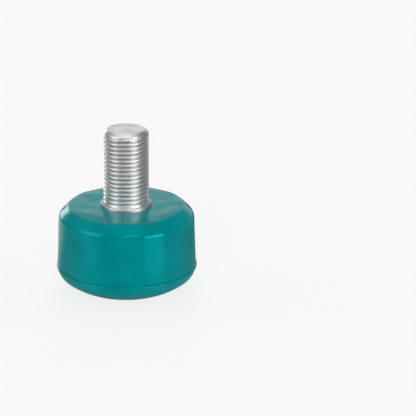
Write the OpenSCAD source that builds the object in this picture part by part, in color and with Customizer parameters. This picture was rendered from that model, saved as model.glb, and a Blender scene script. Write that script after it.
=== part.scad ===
// Adjustable toe stop: a soft puck moulded round a riveted steel insert.
// Origin: centre of the striking face. +Z runs along the threaded stem. Millimetres.

/* [Puck] */
// Height from the striking face to the top face
puck_h = 31; // [29:0.1:40]
// Diameter over the bead of the mould's parting line
bead_d = 49.5; // [48:0.5:60]
// Radius of the bead's round section
bead_r = 0.7; // [0.4:0.05:1]
// How far the bead stands out from the side wall
bead_proud = 0.35; // [0.1:0.05:0.6]
// Step inwards from the side wall to the dome below the bead
dome_step = 0; // [0:0.05:0.5]
// Draft of the side wall: how far it leans in from the bead to the shoulder
wall_draft = 0.65; // [0:0.05:2]
// Drop of the shoulder from the top face
shoulder_drop = 3.5; // [2.5:0.1:6]
// Run of the shoulder, inwards from the side wall to the top face
shoulder_run = 3.4; // [2.5:0.05:5]
// Radius that rounds the top face into the shoulder
top_edge_r = 1.8; // [0.5:0.1:3]
// Radius of the edge between the shoulder and the side wall
shoulder_edge_r = 3; // [0.5:0.1:4]
// Diameter of the flat in the middle of the striking face
face_flat_d = 16; // [10:0.5:24]
// Slope of the crowned face where the rounded edge begins, in degrees
crown_slope = 38; // [25:0.5:45]
// Radius of the rounded edge below the bead
face_edge_r = 4.9; // [3:0.1:6]

/* [Stem] */
// Outer diameter of the thread
thread_d = 16; // [14:0.5:17]
// Pitch of the thread
thread_pitch = 1.5; // [1:0.25:2.5]
// How far the thread's crests lie inside its plain bands
crest_relief = 0.03; // [0.02:0.01:0.1]
// Reach of the stem's tip above the top face
stem_reach = 27.5; // [20:0.5:40]
// Width of the tip's chamfer, across the stem
tip_chamfer_w = 1.35; // [0.5:0.05:2]
// Length of the tip's chamfer, along the stem
tip_chamfer_h = 1.5; // [0.5:0.1:3]
// Length of the plain band below the chamfer
lead_band_h = 0.5; // [0.3:0.1:2]
// Length of the plain neck above the collar
neck_h = 0.8; // [0.3:0.1:3]
// Diameter of the tenon that carries the collar and the plate
tenon_d = 12; // [9:0.5:13]

/* [Collar] */
// How far the collar reaches past the thread
collar_lip = 1; // [0.7:0.1:3]
// How far the collar stands above the top face
collar_proud = 1.2; // [0.6:0.1:3]
// Radius of the collar's upper edge
collar_edge_r = 0.6; // [0.1:0.1:0.6]

/* [Anchor plate] */
// Diameter of the plate
plate_d = 36; // [34:0.5:40]
// Thickness of the plate
plate_t = 3; // [2:0.1:4]
// Depth of the plate below the top face
plate_depth = 5; // [4:0.1:8]
// Number of holes that the puck's material runs through
bond_holes = 6; // [3:1:8]
// Diameter of those holes
bond_hole_d = 5; // [3:0.1:6]
// Distance of the holes' centres from the plate's edge
bond_inset = 4.5; // [3.5:0.1:5.5]
// How far the peened head reaches past the thread
head_lip = 1; // [-0.5:0.1:2]
// Height of the peened head
head_h = 2.4; // [1.5:0.1:4]
// Width of the bevel round the peened head
head_bevel = 1.2; // [0.3:0.1:1.4]

/* [Fits] */
// Radial room between the tenon and the pieces on it
tenon_gap = 0.05; // [0.02:0.01:0.2]
// Thickness of the bonding film between steel and puck
bond_film = 0.05; // [0.02:0.01:0.2]

/* [Hidden] */
$fn = 96;
// How far a cutting tool runs past the face that it cuts
overcut = 1;

// Puck: radii and heights that follow from the sizes above
wall_foot_r = bead_d / 2 - bead_proud;
wall_top_r = wall_foot_r - wall_draft;
top_face_r = wall_top_r - shoulder_run;
dome_r = wall_foot_r - dome_step;
edge_centre_r = dome_r - face_edge_r;
crown_r = face_edge_r + (edge_centre_r - face_flat_d / 2) / sin(crown_slope);
bead_z = crown_r - (crown_r - face_edge_r) * cos(crown_slope);
crown_end_r = face_flat_d / 2 + crown_r * sin(crown_slope);
shoulder_z = puck_h - shoulder_drop;

// Insert: radii and the heights of its seats
collar_r = thread_d / 2 + collar_lip;
tip_r = thread_d / 2 - tip_chamfer_w;
head_r = thread_d / 2 + head_lip;
bond_circle_r = plate_d / 2 - bond_inset;
plate_top_z = puck_h - plate_depth;
plate_foot_z = plate_top_z - plate_t;
collar_top_z = puck_h + collar_proud;
tip_z = puck_h + stem_reach;
thread_foot_z = collar_top_z + neck_h;
thread_top_z = tip_z - tip_chamfer_h - lead_band_h;

// Thread form over one pitch, as a metric thread has it: crest flat, falling flank, root flat, rising flank
flank_angle = 30;
crest_share = 1 / 8;
root_share = 1 / 6;
flank_share = (1 - crest_share - root_share) / 2;
crest_r = thread_d / 2 - crest_relief;
root_r = crest_r - flank_share * thread_pitch / tan(flank_angle);
form = [0, crest_share, crest_share + flank_share, 1 - flank_share];
thread_sides = 32;

// Radius of the thread at a height counted in pitches along one line of the cylinder
function thread_r(turns) =
    let (share = turns - floor(turns))
    lookup(share, [[0, crest_r], [form[1], crest_r], [form[2], root_r], [form[3], root_r], [1, crest_r]]);

// Cylinder with a right-handed thread cut in it, standing on z = 0
module thread(length) {
    points_per_turn = len(form);
    rows = points_per_turn * (ceil(length / thread_pitch) + 1);
    points = [
        for (row = [0 : rows], side = [0 : thread_sides - 1])
        let (
            lead = side / thread_sides,
            turn = floor(row / points_per_turn) - 1 + form[row % points_per_turn],
            z = min(max((turn + lead) * thread_pitch, 0), length),
            r = thread_r(z / thread_pitch - lead)
        )
        [r * cos(360 * lead), r * sin(360 * lead), z]
    ];
    // The last column meets the first one a whole turn further up
    function index(row, side) =
        side < thread_sides
            ? row * thread_sides + side
            : min(row + points_per_turn, rows) * thread_sides;
    walls = [
        for (row = [0 : rows - 1], side = [0 : thread_sides - 1], half = [0, 1])
        let (a = index(row, side), b = index(row, side + 1))
        let (c = index(row + 1, side + 1), d = index(row + 1, side))
        let (face = half == 0 ? [a, c, b] : [a, d, c])
        if (points[face[0]] != points[face[1]]
            && points[face[1]] != points[face[2]]
            && points[face[2]] != points[face[0]])
        face
    ];
    foot = [for (side = [0 : thread_sides - 1]) side];
    head = [for (side = [thread_sides - 1 : -1 : 0]) rows * thread_sides + side];
    polyhedron(points, concat(walls, [foot, head]), convexity = 10);
}

// Rounding of the corner at p between the edges that run to a and to b
function along(from, to) = (to - from) / norm(to - from);
function half_angle(p, a, b) = acos(along(p, a) * along(p, b)) / 2;
function tangent(p, a, b, r) = p + along(p, a) * r / tan(half_angle(p, a, b));
function round_centre(p, a, b, r) =
    p + along([0, 0], along(p, a) + along(p, b)) * r / sin(half_angle(p, a, b));

// Half section of the puck's outside
module puck_section() {
    wall_foot = [wall_foot_r, bead_z];
    shoulder = [wall_top_r, shoulder_z];
    top_edge = [top_face_r, puck_h];
    top_centre = [0, puck_h];
    polygon([
        [0, bead_z],
        wall_foot,
        tangent(shoulder, wall_foot, top_edge, shoulder_edge_r),
        tangent(shoulder, top_edge, wall_foot, shoulder_edge_r),
        tangent(top_edge, shoulder, top_centre, top_edge_r),
        tangent(top_edge, top_centre, shoulder, top_edge_r),
        top_centre
    ]);
    translate(round_centre(shoulder, wall_foot, top_edge, shoulder_edge_r)) circle(shoulder_edge_r);
    translate(round_centre(top_edge, shoulder, top_centre, top_edge_r)) circle(top_edge_r);
    translate([wall_foot_r + bead_proud - bead_r, bead_z]) circle(bead_r);
    square([face_flat_d / 2, bead_z]);
    intersection() {
        translate([face_flat_d / 2, crown_r]) circle(crown_r);
        translate([face_flat_d / 2, 0]) square([crown_end_r - face_flat_d / 2, bead_z]);
    }
    intersection() {
        translate([edge_centre_r, bead_z]) circle(face_edge_r);
        translate([crown_end_r, 0]) square([dome_r - crown_end_r, bead_z]);
    }
}

// Holes' places on the plate
module on_bond_circle() {
    for (turn = [0 : bond_holes - 1])
        rotate(360 * turn / bond_holes)
            translate([bond_circle_r, 0, 0])
                children();
}

// Peened head with room all round it, hanging from z = 0
module peened_head(room) {
    rotate_extrude()
        polygon([
            [0, 0],
            [head_r + room, 0],
            [head_r + room, head_bevel - head_h],
            [head_r + room - head_bevel, -head_h - room],
            [0, -head_h - room]
        ]);
}

// Room that the steel insert takes in the puck
module insert_space() {
    difference() {
        translate([0, 0, plate_foot_z - bond_film])
            cylinder(r = plate_d / 2 + bond_film, h = plate_t + 2 * bond_film);
        on_bond_circle()
            translate([0, 0, plate_foot_z - overcut])
                cylinder(d = bond_hole_d - 2 * bond_film, h = plate_t + 2 * overcut);
    }
    translate([0, 0, plate_top_z])
        cylinder(r = collar_r + bond_film, h = plate_depth + overcut);
    translate([0, 0, plate_foot_z]) peened_head(bond_film);
}

module puck() {
    color("darkcyan")
        difference() {
            rotate_extrude() puck_section();
            insert_space();
        }
}

module threaded_stem() {
    color("silver") {
        translate([0, 0, plate_foot_z]) peened_head(0);
        translate([0, 0, plate_foot_z]) cylinder(d = tenon_d, h = collar_top_z - plate_foot_z);
        translate([0, 0, collar_top_z]) cylinder(d = thread_d, h = neck_h);
        translate([0, 0, thread_foot_z]) thread(thread_top_z - thread_foot_z);
        translate([0, 0, thread_top_z])
            rotate_extrude()
                polygon([
                    [0, 0],
                    [thread_d / 2, 0],
                    [thread_d / 2, lead_band_h],
                    [tip_r, lead_band_h + tip_chamfer_h],
                    [0, lead_band_h + tip_chamfer_h]
                ]);
    }
}

module stem_collar() {
    bore_r = tenon_d / 2 + tenon_gap;
    collar_h = collar_top_z - plate_top_z;
    color("gainsboro")
        translate([0, 0, plate_top_z])
            rotate_extrude() {
                translate([bore_r, 0]) square([collar_r - bore_r, collar_h - collar_edge_r]);
                translate([bore_r, 0]) square([collar_r - collar_edge_r - bore_r, collar_h]);
                translate([collar_r - collar_edge_r, collar_h - collar_edge_r]) circle(collar_edge_r);
            }
}

module anchor_plate() {
    color("slategray")
        translate([0, 0, plate_foot_z])
            difference() {
                cylinder(d = plate_d, h = plate_t);
                translate([0, 0, -overcut])
                    cylinder(r = tenon_d / 2 + tenon_gap, h = plate_t + 2 * overcut);
                on_bond_circle()
                    translate([0, 0, -overcut])
                        cylinder(d = bond_hole_d, h = plate_t + 2 * overcut);
            }
}

puck();
threaded_stem();
stem_collar();
anchor_plate();
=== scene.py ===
import math

import bpy
from mathutils import Matrix, Vector, noise


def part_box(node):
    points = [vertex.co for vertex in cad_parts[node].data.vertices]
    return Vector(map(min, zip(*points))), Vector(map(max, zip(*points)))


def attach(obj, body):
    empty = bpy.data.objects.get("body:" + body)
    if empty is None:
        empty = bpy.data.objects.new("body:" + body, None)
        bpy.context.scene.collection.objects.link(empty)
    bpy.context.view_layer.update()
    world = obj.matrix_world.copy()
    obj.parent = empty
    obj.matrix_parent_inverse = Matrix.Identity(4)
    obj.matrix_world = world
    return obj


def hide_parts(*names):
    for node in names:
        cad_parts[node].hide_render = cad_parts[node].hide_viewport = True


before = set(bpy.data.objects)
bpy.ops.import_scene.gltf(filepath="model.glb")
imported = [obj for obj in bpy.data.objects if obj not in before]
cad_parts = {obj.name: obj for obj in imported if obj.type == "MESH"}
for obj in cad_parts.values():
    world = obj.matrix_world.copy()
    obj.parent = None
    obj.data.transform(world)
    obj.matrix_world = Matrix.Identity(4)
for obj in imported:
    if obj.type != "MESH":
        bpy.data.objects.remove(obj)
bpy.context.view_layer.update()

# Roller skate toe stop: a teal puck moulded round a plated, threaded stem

MM = 0.001

# Sizes that the CAD parts in model.glb give
_, puck_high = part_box("puck")
stem_low, stem_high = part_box("threaded_stem")
_, collar_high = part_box("stem_collar")
plate_low, plate_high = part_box("anchor_plate")
BEAD_R = puck_high.x
TOP_Z = puck_high.z
TIP_Z = stem_high.z
HEAD_R = stem_high.x
HEAD_FOOT_Z = stem_low.z
COLLAR_R = collar_high.x
COLLAR_TOP_Z = collar_high.z
PLATE_R = plate_high.x
PLATE_TOP_Z = plate_high.z
PLATE_FOOT_Z = plate_low.z

# Puck
BEAD_SECTION_R = 0.7 * MM
BEAD_PROUD = 0.35 * MM
BEAD_CREASE = 0.16 * MM
BEAD_CREASE_H = 0.3 * MM
BEAD_CREASE_R = 0.4 * MM
WALL_DRAFT = 0.65 * MM
SHOULDER_DROP = 3.5 * MM
SHOULDER_RUN = 3.4 * MM
TOP_EDGE_R = 1.8 * MM
SHOULDER_EDGE_R = 3.0 * MM
FACE_FLAT_R = 8.0 * MM
CROWN_SLOPE = math.radians(38)
FACE_EDGE_R = 4.9 * MM
WALL_FOOT_R = BEAD_R - BEAD_PROUD
SHOULDER_Z = TOP_Z - SHOULDER_DROP
TOP_RIM_R = WALL_FOOT_R - WALL_DRAFT - SHOULDER_RUN
EDGE_CENTRE_R = WALL_FOOT_R - FACE_EDGE_R
CROWN_R = FACE_EDGE_R + (EDGE_CENTRE_R - FACE_FLAT_R) / math.sin(CROWN_SLOPE)
BEAD_Z = CROWN_R - (CROWN_R - FACE_EDGE_R) * math.cos(CROWN_SLOPE)

# Poured top face: what makes it uneven, how high and how wide
SWELL = 0.2 * MM
SWELL_W = 6.5 * MM
DIMPLE = 0.08 * MM
DIMPLE_W = 2.4 * MM
DIMPLED_AREA_W = 8 * MM
RIPPLE = 0.016 * MM
RIPPLE_RADIAN = 0.8 * MM
RIPPLE_WANDER = 4
RIPPLE_WANDER_W = 9 * MM
RIM_FALL = 0.12 * MM
RIM_FALL_W = 5.5 * MM

# Stem and insert
THREAD_R = 8.0 * MM
CREST_RELIEF = 0.03 * MM
PITCH = 1.5 * MM
THREAD_DEPTH = 0.92 * MM
ROOT_NARROWNESS = 3
SPARE_TURNS = 2
TIP_CHAMFER_W = 1.35 * MM
TIP_CHAMFER_H = 1.5 * MM
TIP_ROLL = 1.6
TIP_RIM = 0.08 * MM
CHAMFER_FOOT_Z = TIP_Z - TIP_CHAMFER_H
TENON_R = 6.0 * MM
TENON_GAP = 0.05 * MM
HEAD_BEVEL = 1.2 * MM
COLLAR_EDGE_R = 0.6 * MM
BOND_FILM = 0.05 * MM
BOND_HOLES = 6
BOND_HOLE_R = 2.5 * MM
BOND_CIRCLE_R = 13.5 * MM

# Mesh fineness
LATHE_SIDES = 256
THREAD_SIDES = 96
THREAD_POINTS = 18
BOND_HOLE_SIDES = 48
WELD = 0.001 * MM
LEVEL_NORMAL = 0.99

# Polyurethane
DEEP_TEAL = (0.0, 0.215, 0.230, 1)
BRIGHT_TEAL = (0.0, 0.255, 0.273, 1)
# Pale bloom on the top face: partly real haze, partly painted sheen
PALE_BLOOM_AND_SHEEN = (0.02, 0.30, 0.31, 1)
BLOOM_AND_SHEEN_STRENGTH = 0.2
TEAL_GLINT = (0.0, 0.95, 1.0, 1)
POLYURETHANE_IOR = 1.55
SMEAR_STRENGTH = 1.8
CAST_RELIEF = 0.04 * MM

# Steel: its tones, and the radii where the painted shade in the thread's roots ends and the flank's full tone
# begins
FULL_ROOT_SHADE_R = 7.05 * MM
SHADE_FREE_FLANK_R = 7.4 * MM
# Grey of the painted shade in the thread's roots
ROOT_SHADE_GREY = (0.58, 0.58, 0.59, 1)
MOTTLE_GREY = (0.74, 0.74, 0.75, 1)
END_BRIGHT = (0.96, 0.95, 0.93, 1)
END_WORN = (0.70, 0.70, 0.68, 1)
MILL_SCALE = (0.30, 0.31, 0.32, 1)
CLEAN_STEEL = (0.46, 0.46, 0.46, 1)
ROLLING_RELIEF = 0.01 * MM

# Camera: the picture's frame, and where the stem's axis meets the top face in it
FRAME_PX = 416
FOCAL_PX = 1792
STEM_FOOT_PX = Vector((126.40, 204.10))
STEM_FOOT_DISTANCE = 627 * MM
CAMERA_PITCH = math.radians(19.83)
CAMERA_ROLL = math.radians(0.47)
CAMERA_NEAR = 0.01
CAMERA_FAR = 20
SENSOR_MM = 36.0

# Studio: distances in metres, levels as linear light, where 1 is white
LAMP_DISTANCE = 0.9
BACKGROUND = 0.93
FILL_LEVEL = 0.45
ROOM_LEVEL = 0.37
ROOM_DARK_LEVEL = 0.14
CEILING_LEVEL = 1.0

# Floor: its tones, and the share of its plain glow that each kind of ray sees
FLOOR_SIZE = 6
FLOOR_TONE = 0.75
FLOOR_TONE_MIRRORED = 0.2
FLOOR_TONE_MIRRORED_BESIDE = 0.04
FLOOR_GLOW = 0.985
GLOW_SHARE_SEEN = 0.83
GLOW_SHARE_BOUNCED = 0.06
GLOW_SHARE_MIRRORED = 0.12
GLOW_SHARE_MIRRORED_BESIDE = 0.0
GLOW_SHARE_MIRRORED_BRIGHT = 1.0
CLOSE_GLOW = 0.4


def start_fresh():
    """Leaves edit mode and selects nothing, so that the next operator acts on its own piece alone."""
    if bpy.context.object and bpy.context.object.mode != "OBJECT":
        bpy.ops.object.mode_set(mode="OBJECT")
    bpy.ops.object.select_all(action="DESELECT")


def take_up(piece):
    """Makes a piece the active one and the only one selected."""
    start_fresh()
    bpy.context.view_layer.objects.active = piece
    piece.select_set(True)


def arc(centre, radius, start, stop, steps):
    """Points of a half section along an arc, its ends included; angles count from outwards."""
    turns = [start + (stop - start) * step / steps for step in range(steps + 1)]
    return [centre + radius * Vector((math.cos(turn), math.sin(turn))) for turn in turns]


def straight(start, stop, steps):
    """Points between two points of a half section, neither end included."""
    return [start.lerp(stop, step / steps) for step in range(1, steps)]


def rounded(corner, before, after, radius, steps):
    """Arc that rounds a convex corner of a half section."""
    to_before = (before - corner).normalized()
    to_after = (after - corner).normalized()
    half = to_before.angle(to_after) / 2
    centre = corner + (to_before + to_after).normalized() * radius / math.sin(half)
    reach = radius / math.tan(half)
    first = corner + to_before * reach - centre
    last = corner + to_after * reach - centre
    return arc(centre, radius, math.atan2(first.y, first.x), math.atan2(last.y, last.x), steps)


def drawn(name, section):
    """Draws a half section point by point as a line of edges, and leaves it in edit mode."""
    start_fresh()
    bpy.ops.mesh.primitive_plane_add(size=MM)
    piece = bpy.context.object
    piece.name = name
    piece.data.name = name
    bpy.ops.object.mode_set(mode="EDIT")
    bpy.ops.mesh.select_mode(type="VERT")
    bpy.ops.mesh.select_all(action="SELECT")
    bpy.ops.mesh.merge(type="CENTER")
    bpy.ops.transform.translate(value=(section[0].x, 0, section[0].y))
    for here, there in zip(section, section[1:]):
        step = there - here
        bpy.ops.mesh.extrude_region_move(TRANSFORM_OT_translate={"value": (step.x, 0, step.y)})
    return piece


def turned(name, section):
    """Draws a half section and spins it round the stem's axis."""
    piece = drawn(name, section)
    bpy.ops.mesh.select_all(action="SELECT")
    bpy.ops.mesh.remove_doubles(threshold=WELD)
    bpy.ops.mesh.spin(steps=LATHE_SIDES, angle=math.tau, center=(0, 0, 0), axis=(0, 0, 1))
    bpy.ops.mesh.select_all(action="SELECT")
    bpy.ops.mesh.remove_doubles(threshold=WELD)
    bpy.ops.mesh.normals_make_consistent(inside=False)
    bpy.ops.object.mode_set(mode="OBJECT")
    return piece


def cut_away(piece, tool):
    """Takes the tool's shape out of the piece and removes the tool."""
    take_up(piece)
    cut = piece.modifiers.new("cut", "BOOLEAN")
    cut.operation = "DIFFERENCE"
    cut.solver = "EXACT"
    cut.object = tool
    bpy.ops.object.modifier_apply(modifier=cut.name)
    bpy.data.objects.remove(tool)


def smooth(piece, degrees):
    """Shades the piece smooth, with edges sharper than the angle left crisp."""
    take_up(piece)
    bpy.ops.object.shade_smooth_by_angle(angle=math.radians(degrees))


def puck_section():
    """Half section of the puck's outside, from the middle of its top face to that of its striking face."""
    top_centre = Vector((0, TOP_Z))
    shoulder = Vector((WALL_FOOT_R - WALL_DRAFT, SHOULDER_Z))
    top_edge = Vector((TOP_RIM_R, TOP_Z))
    wall_foot = Vector((WALL_FOOT_R, BEAD_Z))

    top_round = rounded(top_edge, top_centre, shoulder, TOP_EDGE_R, steps=10)
    shoulder_round = rounded(shoulder, top_edge, wall_foot, SHOULDER_EDGE_R, steps=10)

    bead_centre = Vector((BEAD_R - BEAD_SECTION_R, BEAD_Z))
    edge_centre = Vector((EDGE_CENTRE_R, BEAD_Z))
    meets_wall = math.acos((WALL_FOOT_R - BEAD_CREASE - bead_centre.x) / BEAD_SECTION_R)
    apart = bead_centre.x - edge_centre.x
    crease_r = FACE_EDGE_R - BEAD_CREASE
    meets_dome = math.acos((crease_r**2 - apart**2 - BEAD_SECTION_R**2) / (2 * apart * BEAD_SECTION_R))
    bead = arc(bead_centre, BEAD_SECTION_R, meets_wall, -meets_dome, steps=14)
    wall_end = Vector((WALL_FOOT_R, bead[0].y + BEAD_CREASE_H))
    crease_round = rounded(wall_end, shoulder, bead[0], BEAD_CREASE_R, steps=4)

    leaves_bead = bead[-1] - edge_centre
    crown_start = CROWN_SLOPE - math.pi / 2
    edge_start = math.atan2(leaves_bead.y, leaves_bead.x) - BEAD_CREASE_H / FACE_EDGE_R
    edge = arc(edge_centre, FACE_EDGE_R, edge_start, crown_start, steps=18)
    crown = arc(Vector((FACE_FLAT_R, CROWN_R)), CROWN_R, crown_start, -math.pi / 2, steps=16)
    face_centre = Vector((0, 0))
    return [
        top_centre,
        *straight(top_centre, top_round[0], steps=30),
        *top_round,
        *straight(top_round[-1], shoulder_round[0], steps=8),
        *shoulder_round,
        *straight(shoulder_round[-1], crease_round[0], steps=16),
        *crease_round,
        *bead,
        *edge,
        *crown[1:],
        *straight(crown[-1], face_centre, steps=6),
        face_centre,
    ]


def insert_space():
    """Shape of the room that the steel insert takes in the puck, with the bond holes left full."""
    bore_r = COLLAR_R + BOND_FILM
    disc_r = PLATE_R + BOND_FILM
    disc_top_z = PLATE_TOP_Z + BOND_FILM
    disc_foot_z = PLATE_FOOT_Z - BOND_FILM
    head_r = HEAD_R + BOND_FILM
    head_foot_z = HEAD_FOOT_Z - BOND_FILM
    space = turned("insert_space", [
        Vector((0, COLLAR_TOP_Z)),
        Vector((bore_r, COLLAR_TOP_Z)),
        Vector((bore_r, disc_top_z)),
        Vector((disc_r, disc_top_z)),
        Vector((disc_r, disc_foot_z)),
        Vector((head_r, disc_foot_z)),
        Vector((head_r, HEAD_FOOT_Z + HEAD_BEVEL)),
        Vector((head_r - HEAD_BEVEL, head_foot_z)),
        Vector((0, head_foot_z)),
    ])
    for hole in range(BOND_HOLES):
        turn = math.tau * hole / BOND_HOLES
        start_fresh()
        bpy.ops.mesh.primitive_cylinder_add(
            vertices=BOND_HOLE_SIDES,
            radius=BOND_HOLE_R - BOND_FILM,
            depth=2 * (PLATE_TOP_Z - PLATE_FOOT_Z),
            location=(
                BOND_CIRCLE_R * math.cos(turn),
                BOND_CIRCLE_R * math.sin(turn),
                (PLATE_TOP_Z + PLATE_FOOT_Z) / 2,
            ),
        )
        cut_away(space, bpy.context.object)
    return space


def ease(low, high, value):
    """Smooth step from 0 at low to 1 at high."""
    share = min(max((value - low) / (high - low), 0), 1)
    return share * share * (3 - 2 * share)


def uneven_casting(puck):
    """Lets the poured top face swell, ripple and fall off to its rim a little, and the shoulder with it."""
    clear_of_collar = (COLLAR_R + 0.2 * MM, COLLAR_R + 2.5 * MM)
    poured_heights = (SHOULDER_Z + 0.6 * MM, TOP_Z - 0.4 * MM)
    for vertex in puck.data.vertices:
        place = vertex.co.copy()
        radius = place.xy.length
        poured = ease(*poured_heights, place.z) * ease(*clear_of_collar, radius)
        swell = SWELL * noise.noise(place / SWELL_W)
        dimpled = max(noise.noise(place / DIMPLED_AREA_W), 0)
        dimple = DIMPLE * dimpled * noise.noise(place / DIMPLE_W)
        wander = RIPPLE_WANDER * noise.noise(place / RIPPLE_WANDER_W)
        ripple = RIPPLE * math.sin(radius / RIPPLE_RADIAN + wander)
        rim_share = min(max((radius - TOP_RIM_R) / RIM_FALL_W + 1, 0), 1)
        vertex.co.z += poured * (swell + dimple + ripple - RIM_FALL * rim_share**2)


def make_puck():
    """The moulded puck, with its room for the insert."""
    puck = turned("puck_moulding", puck_section())
    uneven_casting(puck)
    cut_away(puck, insert_space())
    smooth(puck, degrees=24)
    return puck


def thread_radius(share):
    """Radius of the rolled thread at a share of its pitch: broad round crests and narrow roots."""
    return THREAD_R - CREST_RELIEF - THREAD_DEPTH * abs(math.cos(math.pi * share)) ** ROOT_NARROWNESS


def make_thread():
    """Open helical skin of the thread, longer than the stem at both ends."""
    foot_z = COLLAR_TOP_Z - SPARE_TURNS * PITCH
    shares = [point / THREAD_POINTS for point in range(THREAD_POINTS + 1)]
    form = [Vector((thread_radius(share), foot_z + PITCH * share)) for share in shares]
    thread = drawn("plated_stem", form)
    bpy.ops.object.mode_set(mode="OBJECT")
    winding = thread.modifiers.new("winding", "SCREW")
    winding.axis = "Z"
    winding.angle = math.tau
    winding.screw_offset = PITCH
    winding.iterations = math.ceil((TIP_Z - COLLAR_TOP_Z) / PITCH) + SPARE_TURNS
    winding.steps = THREAD_SIDES
    winding.render_steps = THREAD_SIDES
    winding.use_merge_vertices = True
    winding.merge_threshold = WELD
    bpy.ops.object.modifier_apply(modifier=winding.name)
    return thread


def run_out(stem):
    """Lets the thread fade into a plain neck at the collar and a plain band and chamfer at the tip."""
    neck_fade = (COLLAR_TOP_Z + 0.05 * MM, COLLAR_TOP_Z + 0.4 * MM)
    tip_fade = (CHAMFER_FOOT_Z - 0.4 * MM, TIP_Z - 0.3 * MM)
    plain_r = THREAD_R - CREST_RELIEF
    for vertex in stem.data.vertices:
        radius = vertex.co.xy.length
        cut = ease(*neck_fade, vertex.co.z) * (1 - ease(*tip_fade, vertex.co.z))
        wanted = plain_r + (radius - plain_r) * cut
        up_chamfer = max(vertex.co.z - CHAMFER_FOOT_Z, 0) / TIP_CHAMFER_H
        wanted = min(wanted, THREAD_R - TIP_CHAMFER_W * up_chamfer**TIP_ROLL)
        vertex.co.xy *= wanted / radius


def select_cap(piece, z):
    """Selects the flat face that closes a piece at a height."""
    bpy.ops.object.mode_set(mode="OBJECT")
    for part in (piece.data.vertices, piece.data.edges, piece.data.polygons):
        part.foreach_set("select", [False] * len(part))
    for face in piece.data.polygons:
        at_height = abs(face.center.z - z) < WELD
        is_level = abs(face.normal.z) > LEVEL_NORMAL
        if at_height and is_level:
            face.select = True
    bpy.ops.object.mode_set(mode="EDIT")
    bpy.ops.mesh.select_mode(type="FACE")


def grow_cap(rise, scale, z):
    """Extrudes the selected cap along the stem and resizes it about the axis."""
    bpy.ops.mesh.extrude_region_move(TRANSFORM_OT_translate={"value": (0, 0, rise)})
    bpy.ops.transform.resize(value=(scale, scale, 1), center_override=(0, 0, z + rise))
    return z + rise


def make_stem():
    """The plated stem: thread, chamfered tip, tenon and peened head."""
    stem = make_thread()
    rim_z = TIP_Z - TIP_RIM
    bpy.ops.object.mode_set(mode="EDIT")
    for height, side in ((COLLAR_TOP_Z, "clear_inner"), (rim_z, "clear_outer")):
        bpy.ops.mesh.select_all(action="SELECT")
        bpy.ops.mesh.bisect(
            plane_co=(0, 0, height), plane_no=(0, 0, 1), use_fill=True, threshold=WELD / 10, **{side: True}
        )
    bpy.ops.mesh.select_all(action="SELECT")
    bpy.ops.mesh.remove_doubles(threshold=WELD)
    bpy.ops.mesh.normals_make_consistent(inside=False)
    bpy.ops.object.mode_set(mode="OBJECT")
    run_out(stem)

    # Tip: a small rolled rim round the flat end
    select_cap(stem, rim_z)
    tip_r = THREAD_R - TIP_CHAMFER_W
    grow_cap(TIP_RIM, 1 - TIP_RIM / tip_r, rim_z)

    # Foot: the tenon through collar and plate, then the peened head below
    select_cap(stem, COLLAR_TOP_Z)
    z = grow_cap(0, TENON_R / (THREAD_R - CREST_RELIEF), COLLAR_TOP_Z)
    z = grow_cap(PLATE_FOOT_Z - z, 1, z)
    z = grow_cap(0, HEAD_R / TENON_R, z)
    z = grow_cap(HEAD_FOOT_Z + HEAD_BEVEL - z, 1, z)
    grow_cap(HEAD_FOOT_Z - z, 1 - HEAD_BEVEL / HEAD_R, z)
    bpy.ops.mesh.select_all(action="SELECT")
    bpy.ops.mesh.normals_make_consistent(inside=False)
    bpy.ops.object.mode_set(mode="OBJECT")
    smooth(stem, degrees=40)
    return stem


def make_collar():
    """The collar between the stem's shoulder and the plate; its top stands out of the puck."""
    bore_foot = Vector((TENON_R + TENON_GAP, PLATE_TOP_Z))
    edge_centre = Vector((COLLAR_R - COLLAR_EDGE_R, COLLAR_TOP_Z - COLLAR_EDGE_R))
    collar = turned("bright_collar", [
        bore_foot,
        Vector((COLLAR_R, PLATE_TOP_Z)),
        *arc(edge_centre, COLLAR_EDGE_R, 0, math.pi / 2, steps=10),
        Vector((bore_foot.x, COLLAR_TOP_Z)),
        bore_foot,
    ])
    smooth(collar, degrees=30)
    return collar


def grey(level):
    """Neutral colour of a level."""
    return (level, level, level, 1)


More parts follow.
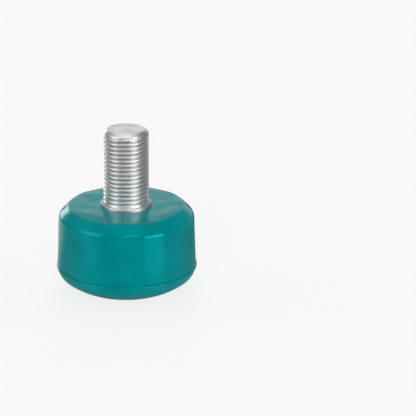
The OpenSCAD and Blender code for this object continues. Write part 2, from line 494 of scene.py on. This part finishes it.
class Nodes:
    """A node tree, with short calls for the nodes that the finishes and the studio use."""

    def __init__(self, tree):
        self.tree = tree

    def add(self, kind, **settings):
        """Adds a node with its settings."""
        node = self.tree.nodes.new(kind)
        for key, value in settings.items():
            setattr(node, key, value)
        return node

    def feed(self, socket, value):
        """Links a socket to another, or sets its value."""
        if isinstance(value, bpy.types.NodeSocket):
            self.tree.links.new(value, socket)
        else:
            socket.default_value = value

    def math(self, operation, a, b=0.0):
        """Result of one operation on one or two numbers."""
        node = self.add("ShaderNodeMath", operation=operation)
        self.feed(node.inputs[0], a)
        self.feed(node.inputs[1], b)
        return node.outputs[0]

    def spread(self, value, low, high, to_low=0.0, to_high=1.0):
        """Maps a range of a value on to another, with a soft start and end."""
        node = self.add("ShaderNodeMapRange", clamp=True, interpolation_type="SMOOTHSTEP")
        for socket, number in zip(node.inputs, (value, low, high, to_low, to_high)):
            self.feed(socket, number)
        return node.outputs["Result"]

    def band(self, value, rise, fall):
        """Goes from 0 to 1 over one range of a value, and back to 0 over a later one."""
        rising = self.spread(value, *rise)
        falling = self.spread(value, *fall, 1, 0)
        return self.math("MULTIPLY", rising, falling)

    def blend(self, share, first, second, kind="FLOAT"):
        """Number between two numbers, or colour between two colours."""
        node = self.add("ShaderNodeMix", data_type=kind)
        self.feed(node.inputs["Factor"], share)
        self.feed(node.inputs["A"], first)
        self.feed(node.inputs["B"], second)
        return node.outputs["Result"]

    def mix(self, share, first, second):
        """Colour between two colours."""
        return self.blend(share, first, second, "RGBA")

    def height(self, vector):
        """Upward part of a vector."""
        node = self.add("ShaderNodeSeparateXYZ")
        self.feed(node.inputs[0], vector)
        return node.outputs["Z"]

    def along(self, vector, way):
        """Part of a vector along a way."""
        node = self.add("ShaderNodeVectorMath", operation="DOT_PRODUCT")
        self.feed(node.inputs[0], vector)
        self.feed(node.inputs[1], way)
        return node.outputs["Value"]

    def length(self, vector):
        """Length of a vector."""
        node = self.add("ShaderNodeVectorMath", operation="LENGTH")
        self.feed(node.inputs[0], vector)
        return node.outputs["Value"]

    def choose(self, share, first, second, output):
        """Sends one of two shaders to the output, or a share of both."""
        node = self.add("ShaderNodeMixShader")
        self.feed(node.inputs[0], share)
        self.feed(node.inputs[1], first.outputs[0])
        self.feed(node.inputs[2], second.outputs[0])
        self.feed(self.tree.nodes[output].inputs["Surface"], node.outputs[0])


class Finish(Nodes):
    """A material with one shader, whose patterns follow the stop's own coordinates."""

    def __init__(self, name):
        self.material = bpy.data.materials.new(name)
        self.material.use_nodes = True
        super().__init__(self.material.node_tree)
        self.shader = self.tree.nodes["Principled BSDF"]
        self.place = self.add("ShaderNodeTexCoord").outputs["Object"]

    def noise(self, size, detail=3.0, stretch=(1, 1, 1), roughness=0.5, distortion=0.0):
        """Noise whose features are about a size in metres, stretched along each axis by its factor."""
        mapping = self.add("ShaderNodeMapping")
        self.feed(mapping.inputs["Vector"], self.place)
        mapping.inputs["Scale"].default_value = [1 / (size * factor) for factor in stretch]
        node = self.add("ShaderNodeTexNoise")
        self.feed(node.inputs["Vector"], mapping.outputs["Vector"])
        node.inputs["Scale"].default_value = 1.0
        node.inputs["Detail"].default_value = detail
        node.inputs["Roughness"].default_value = roughness
        node.inputs["Distortion"].default_value = distortion
        return node.outputs["Fac"]

    def from_axis(self):
        """Distance from the stem's axis."""
        flat = self.add("ShaderNodeVectorMath", operation="MULTIPLY")
        self.feed(flat.inputs[0], self.place)
        flat.inputs[1].default_value = (1, 1, 0)
        return self.length(flat.outputs["Vector"])

    def bump(self, height, distance):
        """Small relief on the shader's normal; height 0 to 1 stands for the distance in metres."""
        node = self.add("ShaderNodeBump")
        self.feed(node.inputs["Height"], height)
        node.inputs["Distance"].default_value = distance
        self.feed(self.shader.inputs["Normal"], node.outputs["Normal"])

    def set(self, **values):
        """Sets or links the shader's own sockets; underscores stand for spaces."""
        for name, value in values.items():
            self.feed(self.shader.inputs[name.replace("_", " ")], value)


def teal_polyurethane():
    """Cast teal polyurethane: a glossy poured face and a satin wall from a turned mould."""
    finish = Finish("teal_polyurethane")
    height = finish.height(finish.place)
    on_top = finish.spread(height, TOP_Z - 0.5 * MM, TOP_Z - 0.1 * MM)

    # Tone: clouded all over, with a pale bloom on the top face, partly real haze and partly painted sheen
    clouds = finish.noise(9 * MM)
    tone = finish.mix(finish.spread(clouds, 0.3, 0.7), DEEP_TEAL, BRIGHT_TEAL)
    bloom_and_sheen = finish.noise(7 * MM, detail=6, roughness=0.6, distortion=0.6)
    bloom_and_sheen = finish.math("MULTIPLY", finish.spread(bloom_and_sheen, 0.42, 0.62), on_top)
    tone = finish.mix(finish.math("MULTIPLY", bloom_and_sheen, BLOOM_AND_SHEEN_STRENGTH), tone, PALE_BLOOM_AND_SHEEN)
    finish.set(Base_Color=tone, IOR=POLYURETHANE_IOR, Specular_Tint=TEAL_GLINT)

    # Gloss: satin on the wall, whose turning marks stretch its highlights, and polished on the rest
    above_wall = finish.spread(height, SHOULDER_Z - 1.3 * MM, SHOULDER_Z - 0.7 * MM)
    off_bead = finish.math("ABSOLUTE", finish.math("SUBTRACT", height, BEAD_Z))
    on_bead = finish.spread(off_bead, 0.55 * MM, 0.75 * MM, 1.0, 0.0)
    glossy = finish.math("MAXIMUM", above_wall, on_bead)
    turning = finish.noise(0.5 * MM, stretch=(10, 10, 1))
    satin = finish.spread(turning, 0.25, 0.75, 0.32, 0.37)
    polished = finish.spread(bloom_and_sheen, 0.0, 1.0, 0.09, 0.15)
    around = finish.add("ShaderNodeTangent", direction_type="RADIAL", axis="Z")
    finish.set(Roughness=finish.blend(glossy, satin, polished))
    finish.set(Anisotropic=0.95, Anisotropic_Rotation=0.25, Tangent=around.outputs["Tangent"])

    # Relief: broad waves, and fine smears on the top face
    waves = finish.noise(6 * MM, detail=2)
    smears = finish.noise(1.3 * MM, detail=2, stretch=(2.2, 1, 1), distortion=1.5)
    smears = finish.math("MULTIPLY", finish.math("MULTIPLY", smears, on_top), SMEAR_STRENGTH)
    finish.bump(finish.math("ADD", waves, smears), CAST_RELIEF)
    return finish.material


def bright_plating(name, sheen, sharpest, dullest):
    """Zinc plating on a rolled thread: full tone on the crests, painted shade in the roots, a mottle and a
    worn flat end.
    """
    finish = Finish(name)
    height = finish.height(finish.place)
    on_chamfer = finish.spread(height, CHAMFER_FOOT_Z - 0.2 * MM, CHAMFER_FOOT_Z + 0.2 * MM)
    on_end = finish.spread(height, TIP_Z - 0.12 * MM, TIP_Z - 0.02 * MM)
    # Painted shade: the thread's roots are greyer than its flanks and crests, and the chamfer is kept clear
    # of it
    out_of_root_shade = finish.spread(finish.from_axis(), FULL_ROOT_SHADE_R, SHADE_FREE_FLANK_R)
    free_of_root_shade = finish.math("MAXIMUM", out_of_root_shade, on_chamfer)
    crest_tone = (sheen, sheen * 0.98, sheen * 0.97, 1)
    mottle = finish.noise(1.4 * MM, detail=6, roughness=0.65)
    tone = finish.mix(free_of_root_shade, ROOT_SHADE_GREY, crest_tone)
    tone = finish.mix(finish.spread(mottle, 0.3, 0.7, 0.0, 0.3), tone, MOTTLE_GREY)
    worn = finish.spread(finish.noise(5 * MM, detail=1), 0.4, 0.6)
    speckle = finish.math("MULTIPLY", finish.spread(mottle, 0.65, 0.35), worn)
    tone = finish.mix(on_end, tone, finish.mix(speckle, END_BRIGHT, END_WORN))
    finish.set(Base_Color=tone, Metallic=1.0)
    rolled = finish.noise(2 * MM)
    dullness = finish.spread(rolled, 0.25, 0.75, sharpest, dullest)
    end_dullness = finish.spread(speckle, 0.0, 1.0, 0.18, 0.24)
    finish.set(Roughness=finish.blend(on_end, dullness, end_dullness))
    return finish.material


def bare_steel():
    """Rolled steel of the plate that lies inside the puck."""
    finish = Finish("bare_steel")
    scale = finish.noise(2.5 * MM, detail=5)
    tone = finish.mix(finish.spread(scale, 0.3, 0.7), MILL_SCALE, CLEAN_STEEL)
    rolling = finish.noise(0.5 * MM, stretch=(12, 1, 1))
    finish.set(Base_Color=tone, Metallic=1.0, Roughness=finish.spread(rolling, 0.25, 0.75, 0.38, 0.55))
    finish.bump(rolling, ROLLING_RELIEF)
    return finish.material


def dress(piece, material, slot, *nodes):
    """Gives a piece its material, its body and the nodes that it stands for."""
    piece.data.materials.clear()
    piece.data.materials.append(material)
    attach(piece, "root")
    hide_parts(*nodes)


def make_camera():
    """Camera at the picture's angle, with the stem's foot at its place in the frame."""
    data = bpy.data.cameras.new("camera")
    data.sensor_width = SENSOR_MM
    data.lens = FOCAL_PX / FRAME_PX * SENSOR_MM
    data.clip_start = CAMERA_NEAR
    data.clip_end = CAMERA_FAR
    camera = bpy.data.objects.new("camera", data)
    bpy.context.scene.collection.objects.link(camera)
    ahead = Vector((0, math.cos(CAMERA_PITCH), -math.sin(CAMERA_PITCH)))
    level_right = Vector((1, 0, 0))
    level_up = level_right.cross(ahead)
    right = math.cos(CAMERA_ROLL) * level_right + math.sin(CAMERA_ROLL) * level_up
    up = right.cross(ahead)
    off_centre = (STEM_FOOT_PX - Vector((FRAME_PX, FRAME_PX)) / 2) * STEM_FOOT_DISTANCE / FOCAL_PX
    stem_foot = Vector((0, 0, TOP_Z))
    place = stem_foot - ahead * STEM_FOOT_DISTANCE - right * off_centre.x + up * off_centre.y
    turn = Matrix((right, up, -ahead)).transposed()
    camera.matrix_world = Matrix.Translation(place) @ turn.to_4x4()
    bpy.context.scene.camera = camera


def way_to(azimuth, elevation):
    """Direction from the stop, its azimuth counted to the right of the camera."""
    turn = math.radians(azimuth)
    rise = math.radians(elevation)
    return Vector((math.sin(turn) * math.cos(rise), -math.cos(turn) * math.cos(rise), math.sin(rise)))


def make_world():
    """Even soft fill; gloss shows a grey room with two dark sides, a pale backdrop and four bright panels."""
    world = bpy.data.worlds.new("studio")
    bpy.context.scene.world = world
    world.use_nodes = True
    nodes = Nodes(world.node_tree)
    direction = nodes.add("ShaderNodeTexCoord").outputs["Generated"]
    up = nodes.height(direction)
    fill = nodes.tree.nodes["Background"]
    nodes.feed(fill.inputs["Color"], grey(1))
    nodes.feed(fill.inputs["Strength"], FILL_LEVEL)

    def patch(azimuth, elevation, core, edge, level=1.0):
        """Round patch of the room with a soft edge; its core and edge are angles from its middle."""
        near = nodes.along(direction, way_to(azimuth, elevation))
        return nodes.spread(near, math.cos(math.radians(edge)), math.cos(math.radians(core)), 0, level)

    dark_right = patch(100, 20, core=18.2, edge=60)
    dark_left = patch(-112, 10, core=14.1, edge=36.9)
    walls = nodes.blend(nodes.math("MAXIMUM", dark_right, dark_left), ROOM_LEVEL, ROOM_DARK_LEVEL)
    ceiling = nodes.spread(up, 0.72, 0.97)
    room = nodes.blend(ceiling, walls, CEILING_LEVEL)
    behind = patch(-172, 0, core=25.8, edge=45.6)
    low_enough = nodes.spread(up, 0.31, 0.44, 1, 0)
    backdrop = nodes.math("MULTIPLY", behind, low_enough)
    level = nodes.blend(backdrop, room, BACKGROUND)
    panels = [
        patch(-64, 28, core=12, edge=28, level=2.2),
        patch(40, 38, core=6, edge=22, level=0.3),
        patch(14, 60, core=12, edge=32, level=0.2),
        patch(-149, 5, core=4, edge=14, level=2.6),
    ]
    for panel in panels:
        level = nodes.math("ADD", level, panel)
    path = nodes.add("ShaderNodeLightPath").outputs
    shown = nodes.add("ShaderNodeBackground")
    nodes.feed(shown.inputs["Strength"], nodes.blend(path["Is Camera Ray"], level, BACKGROUND))
    seen = nodes.math("MAXIMUM", path["Is Camera Ray"], path["Is Glossy Ray"])
    seen = nodes.math("MAXIMUM", seen, path["Is Transmission Ray"])
    nodes.choose(seen, fill, shown, "World Output")


def make_floor():
    """Plain pale floor of the background's tone, with part of the real shadow kept.

    Gloss shows it dark beside the stop, and bright close to the stop and behind its left.
    """
    start_fresh()
    bpy.ops.mesh.primitive_plane_add(size=FLOOR_SIZE)
    floor = bpy.context.object
    floor.name = "floor"
    material = bpy.data.materials.new("pale_floor")
    material.use_nodes = True
    nodes = Nodes(material.node_tree)
    nodes.tree.nodes.remove(nodes.tree.nodes["Principled BSDF"])
    path = nodes.add("ShaderNodeLightPath").outputs
    place = nodes.add("ShaderNodeTexCoord").outputs["Object"]

    # Where gloss shows it dark or bright
    sideways = nodes.math("ABSOLUTE", nodes.along(place, (1, 0, 0)))
    beside = nodes.band(sideways, rise=(25 * MM, 60 * MM), fall=(85 * MM, 115 * MM))
    behind = nodes.spread(nodes.along(place, (0, 1, 0)), 15 * MM, 45 * MM)
    on_left = nodes.band(nodes.along(place, (-1, 0, 0)), rise=(-10 * MM, 25 * MM), fall=(100 * MM, 150 * MM))
    close = nodes.spread(nodes.length(place), 26 * MM, 40 * MM, CLOSE_GLOW, 0.0)
    bright = nodes.math("MAXIMUM", nodes.math("MULTIPLY", behind, on_left), close)

    # Its lit surface, which takes the shadow
    lit = nodes.add("ShaderNodeBsdfDiffuse")
    mirrored_tone = nodes.mix(beside, grey(FLOOR_TONE_MIRRORED), grey(FLOOR_TONE_MIRRORED_BESIDE))
    nodes.feed(lit.inputs["Color"], nodes.mix(path["Is Glossy Ray"], grey(FLOOR_TONE), mirrored_tone))

    # Its plain glow, and the share of it for each kind of ray
    plain = nodes.add("ShaderNodeEmission")
    nodes.feed(plain.inputs["Strength"], FLOOR_GLOW)
    straight_seen = nodes.math("MAXIMUM", path["Is Camera Ray"], path["Is Transmission Ray"])
    seen = nodes.math("MULTIPLY", straight_seen, GLOW_SHARE_SEEN)
    mirrored = nodes.blend(beside, GLOW_SHARE_MIRRORED, GLOW_SHARE_MIRRORED_BESIDE)
    mirrored = nodes.blend(bright, mirrored, GLOW_SHARE_MIRRORED_BRIGHT)
    mirrored = nodes.math("MULTIPLY", path["Is Glossy Ray"], mirrored)
    bounced = nodes.math("MULTIPLY", path["Is Diffuse Ray"], GLOW_SHARE_BOUNCED)
    share = nodes.math("ADD", seen, nodes.math("ADD", mirrored, bounced))
    nodes.choose(share, lit, plain, "Material Output")
    floor.data.materials.append(material)


def softbox(name, azimuth, elevation, size, radiance, lights=True, shines=True):
    """Area lamp of a width and height, aimed at the stop; it lights surfaces, shines in gloss, or both."""
    width, height = size
    data = bpy.data.lights.new(name, "AREA")
    data.shape = "RECTANGLE"
    data.size = width
    data.size_y = height
    data.energy = radiance * math.pi * width * height
    lamp = bpy.data.objects.new(name, data)
    bpy.context.scene.collection.objects.link(lamp)
    out = way_to(azimuth, elevation)
    side = Vector((0, 0, 1)).cross(out).normalized()
    turn = Matrix((side, out.cross(side), out)).transposed()
    aim = Vector((0, 0, TOP_Z))
    lamp.matrix_world = Matrix.Translation(aim + out * LAMP_DISTANCE) @ turn.to_4x4()
    lamp.visible_diffuse = lights
    lamp.visible_glossy = shines


def light_studio():
    """Three lamps that show only in gloss, in front and on both sides, and four soft fills all round."""
    softbox("front_softbox", 12, 42, size=(0.38, 0.09), radiance=9.0, lights=False)
    softbox("right_softbox", 49, 8, size=(0.50, 0.32), radiance=6.6, lights=False)
    softbox("left_softbox", -57, 15, size=(0.40, 0.52), radiance=1.2, lights=False)
    softbox("front_fill", -5, 20, size=(0.60, 0.50), radiance=3.5, shines=False)
    softbox("right_fill", 97, 14, size=(0.40, 0.40), radiance=4.1, shines=False)
    softbox("left_fill", -95, 15, size=(0.40, 0.40), radiance=1.7, shines=False)
    softbox("back_fill", 180, 55, size=(0.50, 0.50), radiance=4.0, shines=False)


puck = make_puck()
stem = make_stem()
collar = make_collar()
stem_plating = bright_plating("bright_plating", sheen=0.98, sharpest=0.32, dullest=0.38)
collar_plating = bright_plating("dull_plating", sheen=0.66, sharpest=0.40, dullest=0.50)
dress(puck, teal_polyurethane(), "puck_polyurethane", "puck")
dress(stem, stem_plating, "plated_steel", "threaded_stem")
dress(collar, collar_plating, "plated_steel", "stem_collar")
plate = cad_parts["anchor_plate"]
plate.data.materials.clear()
plate.data.materials.append(bare_steel())

make_camera()
make_world()
make_floor()
light_studio()
bpy.context.scene.view_settings.view_transform = "Standard"
